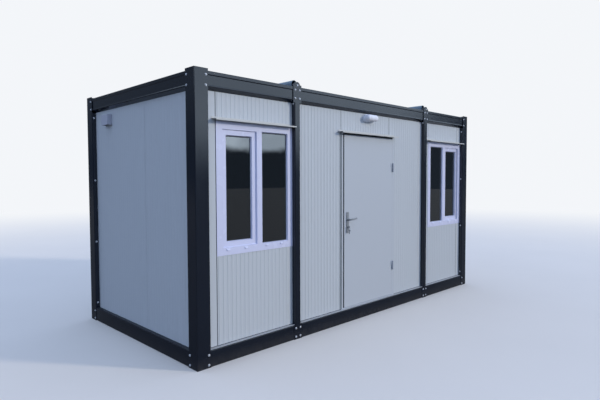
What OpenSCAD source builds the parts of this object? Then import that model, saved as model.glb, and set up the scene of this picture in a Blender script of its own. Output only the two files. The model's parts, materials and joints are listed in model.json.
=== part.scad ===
// Portable site cabin: a bolted frame of folded steel, sandwich panel walls,
// two windows with a tilting light, and one steel door that opens outwards.
// The origin is on the ground, at the middle of the footprint. The front looks
// along -Y. Inside the modules, places are measured from the outer front left
// corner of the frame: u along the front, v inwards from the front, z upwards.

/* [Cabin] */
// Length over the corner posts
cabin_l = 4700; // [4200:10:6000]
// Depth over the corner posts
cabin_w = 2200; // [1900:10:3000]
// Height of the posts
cabin_h = 2500; // [2450:10:2900]
// Clear width of each side bay
side_bay_w = 995; // [980:5:1200]

/* [Posts and beams] */
// Width of a corner post flange
corner_leg = 135; // [110:1:160]
// Width of a middle post
mid_post_w = 70; // [60:1:100]
// Width of the plates at the head and foot of a middle post
mid_plate_w = 110; // [102:1:140]
// Thickness of the folded steel
steel_t = 4; // [3:0.5:6]
// Outer radius of a fold
fold_r = 7; // [6.5:0.5:12]
// Height of the bottom beams
base_beam_h = 145; // [120:1:180]
// Height of the top beams
top_beam_h = 155; // [150:1:190]
// Height by which the posts stand above the top beams
post_proud = 17; // [5:1:40]
// Width of the beam flanges
beam_flange = 76; // [70:1:80]
// Length of beam hidden behind a post flange
beam_lap = 50; // [45:1:52]

/* [Walls and floor] */
// Depth of the wall face behind the face of the frame
wall_set = 45; // [40:1:55]
// Thickness of the wall panels
wall_t = 60; // [50:1:80]
// Width of the narrow panel beside each window
filler_w = 100; // [60:1:102]
// Thickness of the floor boards
deck_t = 22; // [18:1:30]
// Height of the floor above the bottom beams
floor_rise = 15; // [10:1:20]
// Number of floor joists
joist_count = 10; // [7:1:14]

/* [Windows] */
// Height of a window
win_h = 1159; // [1000:1:1180]
// Height of the wall above the windows
over_window_h = 243; // [200:1:300]
// Width of the face of the window frame
win_face = 70; // [60:1:80]
// Width of the post between the two lights
win_mullion = 73; // [60:1:90]
// Clear width of the opening light
sash_open_w = 373; // [330:1:390]
// Depth of the plastic sections
win_depth = 70; // [60:1:80]
// Width of the face of the opening light
sash_face = 50; // [45:1:60]
// Thickness of the glazing unit
glass_t = 24; // [20:1:28]

/* [Door] */
// Width of the door leaf
door_w = 910; // [860:1:930]
// Height of the wall above the door frame
over_door_h = 222; // [200:1:260]
// Thickness of the door leaf
door_t = 48; // [44:1:50]
// Distance from the left end to the closing edge of the leaf
door_u = 1916; // [1880:1:1930]
// Width of the face of the door frame
door_face = 40; // [36:1:50]
// Height of the lever spindle above the foot of the leaf
lever_rise = 979; // [900:1:1050]
// Length of the lever
lever_len = 122; // [110:1:130]
// Radius of the hinge barrels
hinge_r = 9; // [7:0.5:9]
// Length of a hinge
hinge_h = 106; // [90:1:120]

/* [Fittings] */
// Reach of the drip caps in front of the wall face
cap_reach = 71; // [60:1:80]
// Length of the lamp over the door
lamp_w = 208; // [180:1:240]
// Height of the lamp
lamp_h = 84; // [76:1:84]
// Depth of the lamp in front of the wall face
lamp_depth = 88; // [70:1:90]
// Width of the vent hood
hood_w = 150; // [120:1:180]
// Height of the vent hood
hood_h = 110; // [90:1:120]
// Depth of the vent hood
hood_depth = 52; // [40:1:60]
// Width of the caps over the roof joints
roof_cap_w = 76; // [70:1:100]
// Height of the caps over the roof joints
roof_cap_h = 70; // [52:1:90]

/* [Hidden] */

$fn = 48;
// Overrun of every cut
over = 1;
// Clearance of pieces that are fitted into an opening
fit = 0.3;
// Radius clearance of a turning fit
turn_fit = 0.05;

// Levels and places of the frame
beam_top_z = cabin_h - post_proud;
head_z = beam_top_z - top_beam_h;
beam_v = steel_t;
beam_end_u = corner_leg - beam_lap;
beam_gap = 6;
mid_left_u = corner_leg + side_bay_w;
mid_right_u = cabin_l - corner_leg - side_bay_w - mid_post_w;
mid_left_axis = mid_left_u + mid_post_w / 2;
mid_right_axis = mid_right_u + mid_post_w / 2;
plate_t = 8;
foot_plate_w = beam_end_u - steel_t - beam_gap / 2;

// Chords of each rounded fold
fold_steps = 3;

// Form of the top beam: an upper lip, a flat face, a nose and a sloping underside
crease_r = steel_t + 1;
lip_h = 30;
face_set = 4;
face_slope = 6;
nose_z = 26;
nose_h = 8;

// Walls
wall_v = wall_set;
wall_in_v = wall_set + wall_t;
seam_w = 4;
seam_d = 6;
end_seam_v = 931;
over_door_seam_u = 2760;

// Floor
floor_z = base_beam_h + floor_rise;
deck_z = floor_z - deck_t;
joist_w = 50;
joist_t = 2;
joist_end_gap = 1;
joist_end_v = beam_v + fold_r + joist_end_gap;

// Roof
roof_z = head_z + steel_t;
roof_edge_gap = 7;
roof_edge_v = wall_set + roof_edge_gap;
roof_core_t = 60;
rib_h = 35;
rib_foot_w = 74;
rib_top_w = 26;
rib_pitch = 250;
cross_w = 60;
cross_h = 110;
cross_t = 4;
roof_cap_t = 2;
roof_cap_r = roof_cap_w / 2;
roof_cap_leg = roof_cap_h - roof_cap_r;
closure_d = 45;
closure_gap = 1;
closure_leg_share = 0.375;
closure_r = roof_cap_r - roof_cap_t - closure_gap;
closure_leg = roof_cap_leg * closure_leg_share;

// Windows
win_proud = 4;
win_v = wall_v - win_proud;
win_top = head_z - over_window_h;
win_sill = win_top - win_h;
win_w = side_bay_w - filler_w - 2 * fit;
win_left_u = corner_leg + filler_w + fit;
win_right_u = mid_right_u + mid_post_w + filler_w + fit;
sash_set = 15;
sash_lap = 12;
sash_bevel = 4;
glass_set = 18;
glass_hold = 10;
edge_slope = 5;
bead_slope = 8;
sash_v = win_v + sash_set + fit;
mullion_x = win_face + sash_open_w;
fixed_x = mullion_x + win_mullion;
fixed_w = win_w - win_face - fixed_x;
light_h = win_h - 2 * win_face;
sash_x = win_face - sash_lap + fit;
sash_w = sash_open_w + 2 * sash_lap - 2 * fit;
sash_h = light_h + 2 * sash_lap - 2 * fit;
sash_glass_x = win_face + sash_face;
sash_glass_w = sash_open_w - 2 * sash_face;
sash_glass_h = light_h - 2 * sash_face;
drain_w = 34;
drain_h = 18;
drain_d = 8;
drain_shares = [0.133, 0.356, 0.632, 0.836];
drain_lip_share = 0.3;
drain_rise_share = 0.55;
drain_z = win_face * drain_rise_share;

// Door
door_gap = 5;
door_lock_gap = 7;
door_proud = 5;
door_frame_v = wall_v - door_proud;
leaf_proud = 2;
door_leaf_v = door_frame_v - leaf_proud;
stop_w = 15;
threshold_h = floor_rise - door_gap;
leaf_z = base_beam_h + threshold_h + door_gap;
door_open_u = door_u - door_lock_gap;
door_open_w = door_w + door_lock_gap + door_gap;
door_open_z = base_beam_h + threshold_h;
door_head_h = 30;
door_frame_top = head_z - over_door_h;
door_open_h = door_frame_top - door_head_h - door_open_z;
door_h = door_open_h - 2 * door_gap;
door_frame_u = door_open_u - door_face;
door_frame_w = door_open_w + 2 * door_face;

// Sill strips, on the ledge in front of the walls and the door frame
sill_strip_t = 2;
sill_strip_v = beam_v + fold_r;
sill_strip_w = door_frame_v - sill_strip_v - fit;

// Hinges: the pin stands in front of the gap at the hanging edge
pin_gap = 2;
knuckle_off = 1;
pin_u = door_u + door_w + pin_gap;
pin_v = door_leaf_v - hinge_r - knuckle_off;
pin_r = 5;
hinge_plate_w = 30;
hinge_plate_t = 3;
knuckle_gap = 1;
hinge_rise_shares = [0.189, 0.818];

// Lever, plates and lock
handle_inset = 52;
handle_u = door_u + handle_inset;
spindle_z = leaf_z + lever_rise;
plate_w = 40;
plate_h = 233;
plate_thick = 6;
plate_above = 81;
plate_corner = 6;
neck_r = 12;
neck_len = 10;
lever_r = 9;
lever_bend_r = 20;
lever_tilt = 4;
lever_reach = 44;
spindle_r = 5;
spindle_hole_r = 6;
lock_drop = 85;
lock_r = 8.5;
lock_web = 10;
lock_tail = 24;
lock_proud = 3;
key_t = 2.4;
key_bow_r = 12;
key_eye_r = 4;
key_eye_edge = 2;
key_shank = 7;
key_blade_w = 8;
key_len = 26;
ring_r = 12;
ring_wire_r = 1.1;

// Fittings
cap_t = 2;
cap_lip_h = 12;
cap_rise = 5;
cap_h = 33;
door_cap_left = 50;
win_cap_left = 42;
cap_over_gap = 9;
win_cap_z = win_top + fit;
door_cap_z = door_frame_top - door_head_h + cap_over_gap;
lamp_u = cabin_l / 2;
lamp_base_d = 28;
lamp_top_gap = 5;
lamp_rim = 6;
lamp_round_share = 0.8;
hood_back_gap = 400;
hood_top_gap = 53;
hood_t = 2;
hood_fold_r = 6;
lever_base_w = 28;
lever_base_h = 66;
lever_base_t = 10;
inner_neck = 26;
inner_lever_r = 8;
inner_lever_len = 112;

steel_grey = [0.16, 0.19, 0.23];
panel_white = [0.80, 0.82, 0.86];
plastic_white = [0.84, 0.83, 0.90];
zinc = [0.66, 0.68, 0.71];
silver = [0.75, 0.76, 0.78];

// Puts the frame's outer front left corner at its place about the origin
module footprint() {
    translate([-cabin_l / 2, -cabin_w / 2, 0])
        children();
}

// Swaps front and back, or left and right, of what is drawn in the footprint
module to_back() {
    translate([0, cabin_w, 0])
        mirror([0, 1, 0])
            children();
}

module to_right() {
    translate([cabin_l, 0, 0])
        mirror([1, 0, 0])
            children();
}

// Turns what runs along the front so that it runs along the left end
module to_left_end() {
    mirror([1, -1, 0])
        children();
}

// Extrudes an outline in v and z along u
module along_u(start, length) {
    translate([start, 0, 0])
        rotate([90, 0, 90])
            linear_extrude(length)
                children();
}

// Direction from one point to the next, and the side to its left
function heading(a, b) = (b - a) / norm(b - a);
function left_of(d) = [-d[1], d[0]];
function turned(d, angle) = [
    d[0] * cos(angle) - d[1] * sin(angle),
    d[0] * sin(angle) + d[1] * cos(angle)
];

// Points of the rounded fold at b, on the way from a to c
function fold(a, b, c, r) =
    let (
        d = heading(a, b),
        side = sign(cross(d, heading(b, c))),
        angle = acos(d * heading(b, c)),
        centre = b - r * tan(angle / 2) * d + side * r * left_of(d)
    )
    [for (i = [0:fold_steps]) centre - side * r * turned(left_of(d), side * angle * i / fold_steps)];

// Line with all its corners but the ends rounded
function folded_line(line, r) =
    let (last = len(line) - 1)
    concat(
        [line[0]],
        [for (i = [1:last - 1]) each fold(line[i - 1], line[i], line[i + 1], r)],
        [line[last]]
    );

// Point one sheet thickness to the left of a line's point
function inner_point(line, i, t) =
    let (
        last = len(line) - 1,
        before = left_of(heading(line[max(i - 1, 0)], line[max(i, 1)])),
        after = left_of(heading(line[min(i, last - 1)], line[min(i + 1, last)]))
    )
    line[i] + t * (before + after) / (1 + before * after);

// Section of a folded sheet, from its outer line
module folded_sheet(line, t) {
    polygon(concat(
        line,
        [for (i = [len(line) - 1:-1:0]) inner_point(line, i, t)]
    ));
}

// Corner post: two flanges, a return from each back to the wall, and end plates
module corner_post() {
    color(steel_grey) {
        for (z = [[0, base_beam_h], [head_z, cabin_h - head_z]])
            translate([0, 0, z[0]])
                linear_extrude(z[1])
                    corner_flanges();
        translate([0, 0, base_beam_h])
            linear_extrude(head_z - base_beam_h)
                corner_section();
        for (z = [0, cabin_h - plate_t])
            translate([steel_t, steel_t, z])
                cube([foot_plate_w, foot_plate_w, plate_t]);
    }
}

module corner_flanges() {
    folded_sheet(folded_line([[0, corner_leg], [0, 0], [corner_leg, 0]], fold_r), steel_t);
}

module corner_section() {
    folded_sheet(folded_line([
        [wall_set, corner_leg], [0, corner_leg], [0, 0], [corner_leg, 0], [corner_leg, wall_set]
    ], fold_r), steel_t);
}

// Middle post: a shallow channel with a wider plate over the beams at each end
module mid_post(u) {
    color(steel_grey)
        translate([u, 0, 0]) {
            translate([0, 0, base_beam_h])
                linear_extrude(head_z - base_beam_h)
                    mid_section();
            for (z = [[0, base_beam_h], [head_z, cabin_h - head_z]])
                translate([(mid_post_w - mid_plate_w) / 2, 0, z[0]])
                    cube([mid_plate_w, steel_t, z[1]]);
            translate([mid_post_w / 2, 0, beam_top_z])
                joint_closure();
        }
}

// Arched head of a middle post, which closes the front of a roof joint cap
module joint_closure() {
    rotate([90, 0, 0])
        mirror([0, 0, 1]) {
            linear_extrude(steel_t)
                arch(closure_r, closure_leg);
            linear_extrude(closure_d)
                difference() {
                    arch(closure_r, closure_leg);
                    arch(closure_r - steel_t, closure_leg);
                }
        }
}

// Half round on two legs, standing on its foot
module arch(r, leg) {
    translate([-r, 0])
        square([2 * r, leg]);
    translate([0, leg])
        intersection() {
            circle(r);
            translate([-r, 0])
                square([2 * r, r]);
        }
}

module mid_section() {
    folded_sheet(folded_line([
        [0, wall_set], [0, 0], [mid_post_w, 0], [mid_post_w, wall_set]
    ], fold_r), steel_t);
}

module mid_posts() {
    mid_post(mid_left_u);
    mid_post(mid_right_u);
}

// Bottom beam: a channel that opens inwards
module base_outline() {
    end_v = beam_v + beam_flange;
    folded_sheet(folded_line([
        [end_v, base_beam_h], [beam_v, base_beam_h], [beam_v, 0], [end_v, 0]
    ], fold_r), steel_t);
}

// Top beam: a lip, a face set back between two slopes, a nose and a sloping underside
module top_outline() {
    face_v = beam_v + face_set;
    end_v = beam_v + beam_flange;
    lip_z = top_beam_h - lip_h;
    nose_top = nose_z + nose_h;
    folded_sheet(folded_line([
        [end_v, top_beam_h], [beam_v, top_beam_h], [beam_v, lip_z], [face_v, lip_z - face_slope],
        [face_v, nose_top + face_slope], [beam_v, nose_top], [beam_v, nose_z],
        [wall_set, 0], [end_v, 0]
    ], crease_r), steel_t);
}

// The three beams of a long side, split behind the middle posts
module beam_row() {
    starts = [beam_end_u, mid_left_axis + beam_gap / 2, mid_right_axis + beam_gap / 2];
    ends = [mid_left_axis - beam_gap / 2, mid_right_axis - beam_gap / 2, cabin_l - beam_end_u];
    color(steel_grey)
        for (i = [0:2])
            along_u(starts[i], ends[i] - starts[i])
                children();
}

// The beam of a short side
module end_beam() {
    color(steel_grey)
        to_left_end()
            along_u(beam_end_u, cabin_w - 2 * beam_end_u)
                children();
}

module at_head() {
    translate([0, head_z])
        children();
}

module floor_joists() {
    pitch = (cabin_l - 2 * wall_in_v - joist_w) / (joist_count - 1);
    joist_h = deck_z - steel_t;
    color(zinc)
        footprint()
            for (i = [0:joist_count - 1])
                translate([wall_in_v + i * pitch, joist_end_v, steel_t])
                    difference() {
                        cube([joist_w, cabin_w - 2 * joist_end_v, joist_h]);
                        translate([joist_t, -over, joist_t])
                            cube([joist_w, cabin_w, joist_h - 2 * joist_t]);
                    }
}

module floor_deck() {
    color("burlywood")
        footprint()
            translate([wall_in_v, wall_in_v, deck_z])
                cube([cabin_l - 2 * wall_in_v, cabin_w - 2 * wall_in_v, deck_t]);
}

// Pale strips on the ledge of the bottom beams, between the posts
module sill_strip(start, length) {
    translate([start, sill_strip_v, base_beam_h])
        cube([length, sill_strip_w, sill_strip_t]);
}

module long_strips() {
    mid_clear = mid_right_u - mid_left_u - mid_post_w;
    sill_strip(corner_leg + fit, side_bay_w - 2 * fit);
    sill_strip(mid_left_u + mid_post_w + fit, mid_clear - 2 * fit);
    sill_strip(mid_right_u + mid_post_w + fit, side_bay_w - 2 * fit);
}

module end_strip() {
    to_left_end()
        sill_strip(corner_leg + fit, cabin_w - 2 * corner_leg - 2 * fit);
}

module sill_strips() {
    color(zinc)
        footprint() {
            long_strips();
            to_back()
                long_strips();
            end_strip();
            to_right()
                end_strip();
        }
}

// Hollow beams that cross the roof between the middle posts
module roof_cross_beams() {
    length = cabin_w - 2 * roof_edge_v;
    color(steel_grey)
        footprint()
            for (axis = [mid_left_axis, mid_right_axis])
                translate([axis - cross_w / 2, roof_edge_v, roof_z])
                    difference() {
                        cube([cross_w, length, cross_h]);
                        translate([cross_t, -over, cross_t])
                            cube([cross_w - 2 * cross_t, length + 2 * over, cross_h - 2 * cross_t]);
                    }
}

// Outline of a roof panel across its ribs
module roof_outline(width) {
    ribs = floor(width / rib_pitch);
    first = (width - (ribs - 1) * rib_pitch) / 2;
    square([width, roof_core_t]);
    for (i = [0:ribs - 1])
        translate([first + i * rib_pitch, roof_core_t])
            polygon([
                [-rib_foot_w / 2, -over], [-rib_foot_w / 2, 0], [-rib_top_w / 2, rib_h],
                [rib_top_w / 2, rib_h], [rib_foot_w / 2, 0], [rib_foot_w / 2, -over]
            ]);
}

module roof_panel(start, width) {
    translate([start, cabin_w - roof_edge_v, roof_z])
        rotate([90, 0, 0])
            linear_extrude(cabin_w - 2 * roof_edge_v)
                roof_outline(width);
}

module roof_panels() {
    side_w = mid_left_axis - cross_w / 2 - roof_edge_v;
    color("lightsteelblue")
        footprint() {
            roof_panel(roof_edge_v, side_w);
            roof_panel(mid_left_axis + cross_w / 2, mid_right_axis - mid_left_axis - cross_w);
            roof_panel(mid_right_axis + cross_w / 2, side_w);
        }
}

// Arched cap from front to back over a roof joint, between the closures
module roof_cap() {
    start_v = closure_d + fit;
    translate([0, cabin_w - start_v, 0])
        rotate([90, 0, 0])
            linear_extrude(cabin_w - 2 * start_v)
                difference() {
                    arch(roof_cap_r, roof_cap_leg);
                    arch(roof_cap_r - roof_cap_t, roof_cap_leg);
                }
}

// Legs of a cap between the beams, down to the roof panels
module roof_cap_skirts() {
    skirt_v = beam_v + beam_flange + fit;
    skirt_h = beam_top_z - roof_z - roof_core_t;
    for (x = [-roof_cap_r, roof_cap_r - roof_cap_t])
        translate([x, skirt_v, -skirt_h])
            cube([roof_cap_t, cabin_w - 2 * skirt_v, skirt_h]);
}

module roof_joint_caps() {
    color("lightsteelblue")
        footprint()
            for (axis = [mid_left_axis, mid_right_axis])
                translate([axis, 0, beam_top_z]) {
                    roof_cap();
                    roof_cap_skirts();
                }
}

// Wall panel between two places along the front, with a groove at each seam
module wall_run(start, end, seams) {
    color(panel_white)
        difference() {
            translate([start, wall_v, base_beam_h])
                cube([end - start, wall_t, head_z - base_beam_h]);
            for (u = seams)
                panel_seam(u);
        }
}

module panel_seam(u) {
    for (v = [wall_v - over, wall_in_v - seam_d])
        translate([u - seam_w / 2, v, base_beam_h - over])
            cube([seam_w, seam_d + over, head_z - base_beam_h + 2 * over]);
}

module wall_end_panel() {
    to_left_end()
        wall_run(wall_in_v, cabin_w - wall_in_v, [end_seam_v]);
}

// Hole for a window, as wide as the frame and its fitting clearance
module window_hole(u) {
    translate([u - fit, wall_v - over, win_sill - fit])
        cube([win_w + 2 * fit, wall_t + 2 * over, win_h + 2 * fit]);
}

module wall_front_left() {
    footprint()
        difference() {
            wall_run(wall_v, mid_left_axis, [corner_leg + filler_w]);
            window_hole(win_left_u);
        }
}

module wall_front_right() {
    footprint()
        difference() {
            wall_run(mid_right_axis, cabin_l - wall_v, [mid_right_u + mid_post_w + filler_w]);
            window_hole(win_right_u);
        }
}

module wall_over_door() {
    color(panel_white)
        footprint()
            difference() {
                translate([door_frame_u, wall_v, door_frame_top])
                    cube([door_frame_w, wall_t, head_z - door_frame_top]);
                panel_seam(over_door_seam_u);
            }
}

// Opening with edges that slope inwards from the face
module sloped_opening(w, h, depth, slope) {
    hull() {
        translate([-slope, -over, -slope])
            cube([w + 2 * slope, over, h + 2 * slope]);
        translate([0, depth, 0])
            cube([w, over, h]);
    }
}

// Window frame in its own place: x along the front, z up from its foot
module window_frame_shape() {
    color(plastic_white) {
        difference() {
            translate([0, win_v, 0])
                cube([win_w, win_depth, win_h]);
            translate([win_face, win_v, win_face])
                sloped_opening(sash_open_w, light_h, sash_set, edge_slope);
            translate([win_face - sash_lap, win_v + sash_set, win_face - sash_lap])
                cube([sash_open_w + 2 * sash_lap, win_depth, light_h + 2 * sash_lap]);
            translate([fixed_x, win_v, win_face])
                sloped_opening(fixed_w, light_h, glass_set, bead_slope);
            translate([fixed_x, win_v + glass_set, win_face])
                cube([fixed_w, win_depth, light_h]);
            translate([fixed_x - glass_hold, win_v + glass_set, win_face - glass_hold])
                cube([fixed_w + 2 * glass_hold, glass_t + 2 * fit, light_h + 2 * glass_hold]);
        }
        for (share = drain_shares)
            along_u(share * win_w - drain_w / 2, drain_w)
                drain_outline();
    }
}

// Hood over a drain hole: sloped above, with a short lip at its front
module drain_outline() {
    lip_z = drain_z + drain_h * drain_lip_share;
    polygon([
        [win_v, drain_z], [win_v, drain_z + drain_h],
        [win_v - drain_d, lip_z], [win_v - drain_d, drain_z]
    ]);
}

module window_sash_shape() {
    color(plastic_white)
        difference() {
            sash_block();
            translate([sash_glass_x, sash_v, sash_glass_x])
                sloped_opening(sash_glass_w, sash_glass_h, glass_set, bead_slope);
            translate([sash_glass_x, sash_v + glass_set, sash_glass_x])
                cube([sash_glass_w, win_depth, sash_glass_h]);
            translate([sash_glass_x - glass_hold, sash_v + glass_set, sash_glass_x - glass_hold])
                cube([sash_glass_w + 2 * glass_hold, glass_t + 2 * fit, sash_glass_h + 2 * glass_hold]);
        }
}

// Block of the opening light, with sloped edges round its inner face
module sash_block() {
    hull() {
        translate([sash_x, sash_v, sash_x])
            cube([sash_w, win_depth - sash_bevel, sash_h]);
        translate([sash_x + sash_bevel, sash_v, sash_x + sash_bevel])
            cube([sash_w - 2 * sash_bevel, win_depth, sash_h - 2 * sash_bevel]);
    }
}

// The glazing unit of the fixed light and of the opening light
module window_panes() {
    hold = glass_hold - fit;
    color("slategray") {
        translate([fixed_x - hold, win_v + glass_set + fit, win_face - hold])
            cube([fixed_w + 2 * hold, glass_t, light_h + 2 * hold]);
        translate([sash_glass_x - hold, sash_v + glass_set + fit, sash_glass_x - hold])
            cube([sash_glass_w + 2 * hold, glass_t, sash_glass_h + 2 * hold]);
    }
}

// Inside handle on the stile of the opening light
module window_handle() {
    face_v = sash_v + win_depth;
    x = win_face + sash_face / 2 - sash_lap / 2;
    z = win_h / 2;
    color(plastic_white) {
        translate([x - lever_base_w / 2, face_v, z - lever_base_h / 2])
            cube([lever_base_w, lever_base_t, lever_base_h]);
        translate([x, face_v + lever_base_t - over, z])
            rotate([-90, 0, 0])
                cylinder(h = inner_neck + over, r = inner_lever_r);
        translate([x, face_v + lever_base_t + inner_neck - inner_lever_r, z - inner_lever_len])
            cylinder(h = inner_lever_len, r = inner_lever_r);
    }
}

// Puts a window in the left bay, or mirrored in the right bay
module in_left_bay() {
    footprint()
        translate([win_left_u, 0, win_sill])
            children();
}

module in_right_bay() {
    footprint()
        translate([win_right_u + win_w, 0, win_sill])
            mirror([1, 0, 0])
                children();
}

module window_glass() {
    in_left_bay()
        window_panes();
    in_right_bay()
        window_panes();
}

module window_handles() {
    in_left_bay()
        window_handle();
    in_right_bay()
        window_handle();
}

// Steel door frame with a stop behind the leaf and a low threshold
module door_frame() {
    depth = wall_in_v - door_frame_v;
    stop_v = door_leaf_v + door_t + door_gap;
    color(panel_white)
        footprint()
            difference() {
                translate([door_frame_u, door_frame_v, base_beam_h])
                    cube([door_frame_w, depth, door_frame_top - base_beam_h]);
                translate([door_open_u, door_frame_v - over, door_open_z])
                    cube([door_open_w, stop_v - door_frame_v + over, door_open_h]);
                translate([door_open_u + stop_w, door_frame_v, door_open_z + stop_w])
                    cube([door_open_w - 2 * stop_w, depth + over, door_open_h - 2 * stop_w]);
            }
}

module door_leaf() {
    color(panel_white)
        footprint()
            difference() {
                translate([door_u, door_leaf_v, leaf_z])
                    cube([door_w, door_t, door_h]);
                translate([handle_u, door_leaf_v - over, spindle_z])
                    rotate([-90, 0, 0])
                        cylinder(h = door_t + 2 * over, r = spindle_hole_r);
                translate([handle_u, door_leaf_v - over, spindle_z - lock_drop])
                    lock_outline(door_t + 2 * over, fit);
            }
}

// Lock cylinder section: a round barrel over a narrow web with a round end
module lock_outline(depth, gap) {
    end_r = lock_web / 2;
    rotate([-90, 0, 0])
        linear_extrude(depth) {
            circle(lock_r + gap);
            translate([-end_r - gap, 0])
                square([lock_web + 2 * gap, lock_tail - end_r]);
            translate([0, lock_tail - end_r])
                circle(end_r + gap);
        }
}

// Frame half of a hinge: lower knuckle, its pin and its plate on the frame
module hinge_frame_half(z) {
    half_h = (hinge_h - knuckle_gap) / 2;
    translate([pin_u, pin_v, z - hinge_h / 2]) {
        cylinder(h = half_h, r = hinge_r);
        cylinder(h = hinge_h - pin_r, r = pin_r);
        cube([hinge_r + pin_gap, door_frame_v - pin_v - hinge_plate_t, half_h]);
        translate([door_gap - pin_gap, door_frame_v - pin_v - hinge_plate_t, 0])
            cube([hinge_plate_w, hinge_plate_t, half_h]);
    }
}

module hinge_frame_halves() {
    color(steel_grey)
        footprint()
            for (share = hinge_rise_shares)
                hinge_frame_half(leaf_z + share * door_h);
}

// Leaf half of a hinge: upper knuckle over the pin, and its plate on the leaf
module hinge_leaf_half(z) {
    half_h = (hinge_h - knuckle_gap) / 2;
    reach = hinge_plate_w + pin_gap;
    translate([pin_u, pin_v, z + knuckle_gap / 2])
        difference() {
            union() {
                cylinder(h = half_h, r = hinge_r);
                translate([-reach, door_leaf_v - pin_v - hinge_plate_t, 0])
                    cube([reach - pin_gap, hinge_plate_t, half_h]);
                translate([-hinge_r, 0, 0])
                    cube([hinge_r - pin_gap, door_leaf_v - pin_v, half_h]);
            }
            translate([0, 0, -over])
                cylinder(h = half_h + 2 * over, r = pin_r + turn_fit);
        }
}

module hinge_leaf_halves() {
    color(steel_grey)
        footprint()
            for (share = hinge_rise_shares)
                hinge_leaf_half(leaf_z + share * door_h);
}

// Plate with rounded corners, a hole for the lever neck and one for the lock
module handle_plate(v) {
    z0 = spindle_z + plate_above - plate_h;
    difference() {
        translate([handle_u - plate_w / 2, v, z0])
            rounded_plate(plate_w, plate_thick, plate_h, plate_corner);
        translate([handle_u, v - over, spindle_z])
            rotate([-90, 0, 0])
                cylinder(h = plate_thick + 2 * over, r = spindle_hole_r);
        translate([handle_u, v - over, spindle_z - lock_drop])
            lock_outline(plate_thick + 2 * over, fit);
    }
}

module rounded_plate(w, t, h, r) {
    translate([0, t, 0])
        rotate([90, 0, 0])
            linear_extrude(t) {
                translate([r, 0])
                    square([w - 2 * r, h]);
                translate([0, r])
                    square([w, h - 2 * r]);
                for (x = [r, w - r], z = [r, h - r])
                    translate([x, z])
                        circle(r);
            }
}

module handle_plates() {
    color(silver)
        footprint() {
            handle_plate(door_leaf_v - plate_thick);
            handle_plate(door_leaf_v + door_t);
        }
}

// Lever: a collar on the plate, a stem, a bend and a grip that rises a little
module lever_grip() {
    stem_len = lever_reach - lever_bend_r - lever_r;
    grip_len = lever_len - lever_bend_r - lever_r;
    translate([0, plate_thick + fit, 0])
        rotate([-90, 0, 0]) {
            cylinder(h = neck_len, r = neck_r);
            cylinder(h = stem_len, r = lever_r);
        }
    translate([0, plate_thick + fit + stem_len, 0])
        rotate([0, -lever_tilt, 0])
            translate([lever_bend_r, 0, 0]) {
                rotate([0, 0, 90])
                    rotate_extrude(angle = 90)
                        translate([lever_bend_r, 0])
                            circle(lever_r);
                translate([0, lever_bend_r, 0])
                    rotate([0, 90, 0])
                        cylinder(h = grip_len, r = lever_r);
                translate([grip_len, lever_bend_r, 0])
                    sphere(lever_r);
            }
}

module door_lever() {
    color(silver)
        footprint()
            translate([handle_u, 0, spindle_z]) {
                translate([0, door_leaf_v, 0])
                    mirror([0, 1, 0])
                        lever_grip();
                translate([0, door_leaf_v + door_t, 0])
                    lever_grip();
                translate([0, door_leaf_v - plate_thick - 2 * over, 0])
                    rotate([-90, 0, 0])
                        cylinder(h = door_t + 2 * plate_thick + 4 * over, r = spindle_r);
            }
}

// Round bow of a key, with its eye on the upper side
module key_bow() {
    difference() {
        circle(key_bow_r);
        translate([0, key_bow_r - key_eye_r - key_eye_edge])
            circle(key_eye_r);
    }
}

// Extrudes a key's outline to its thickness, in the plane across the front
module flat_key() {
    translate([-key_t / 2, 0, 0])
        rotate([90, 0, 90])
            linear_extrude(key_t)
                children();
}

// Lock cylinder with a key in it, and a ring that holds a second key
module lock_and_keys() {
    face_v = door_leaf_v - plate_thick - lock_proud;
    lock_z = spindle_z - lock_drop;
    eye_reach = key_bow_r - key_eye_r - key_eye_edge;
    hang = key_eye_r - ring_wire_r - fit;
    color(silver)
        footprint() {
            translate([handle_u, face_v, lock_z])
                lock_outline(door_t + 2 * plate_thick + 2 * lock_proud, 0);
            translate([handle_u, face_v - key_shank - key_bow_r, lock_z])
                flat_key() {
                    rotate(90)
                        key_bow();
                    translate([key_bow_r - over, -key_blade_w / 2])
                        square([key_shank + 2 * over, key_blade_w]);
                }
            translate([handle_u, face_v - key_shank - key_bow_r - eye_reach, lock_z - hang - ring_r]) {
                rotate([90, 0, 0])
                    rotate_extrude()
                        translate([ring_r, 0])
                            circle(ring_wire_r);
                translate([0, 0, -ring_r - hang - eye_reach])
                    flat_key() {
                        key_bow();
                        translate([-key_blade_w / 2, -key_bow_r - key_len])
                            square([key_blade_w, key_len + key_bow_r / 2]);
                    }
            }
        }
}

// Folded cap: a lip, a slope and a leg up the wall, from a wall face at v
module drip_cap(start, length, back_v, foot_z) {
    front_v = wall_v - cap_reach;
    lip_top = foot_z + cap_lip_h;
    slope_top = lip_top + cap_rise;
    along_u(start, length)
        folded_sheet([
            [back_v, foot_z + cap_h], [back_v, slope_top - cap_t],
            [front_v + cap_t, lip_top - cap_t], [front_v + cap_t, foot_z]
        ], -cap_t);
}

module drip_caps() {
    door_cap_u = door_frame_u - door_cap_left;
    color(silver)
        footprint() {
            drip_cap(win_left_u - win_cap_left, win_w + win_cap_left, wall_v, win_cap_z);
            drip_cap(door_cap_u, door_frame_u + door_frame_w - door_cap_u, door_frame_v, door_cap_z);
            drip_cap(win_right_u - win_cap_left, win_w + win_cap_left, wall_v, win_cap_z);
        }
}

// Loaf with half-round ends: the lamp's outline, laid against the wall
module lamp_loaf(w, h, depth) {
    translate([0, depth, 0])
        rotate([90, 0, 0])
            linear_extrude(depth) {
                translate([-(w - h) / 2, -h / 2])
                    square([w - h, h]);
                for (x = [-(w - h) / 2, (w - h) / 2])
                    translate([x, 0])
                        circle(h / 2);
            }
}

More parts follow.
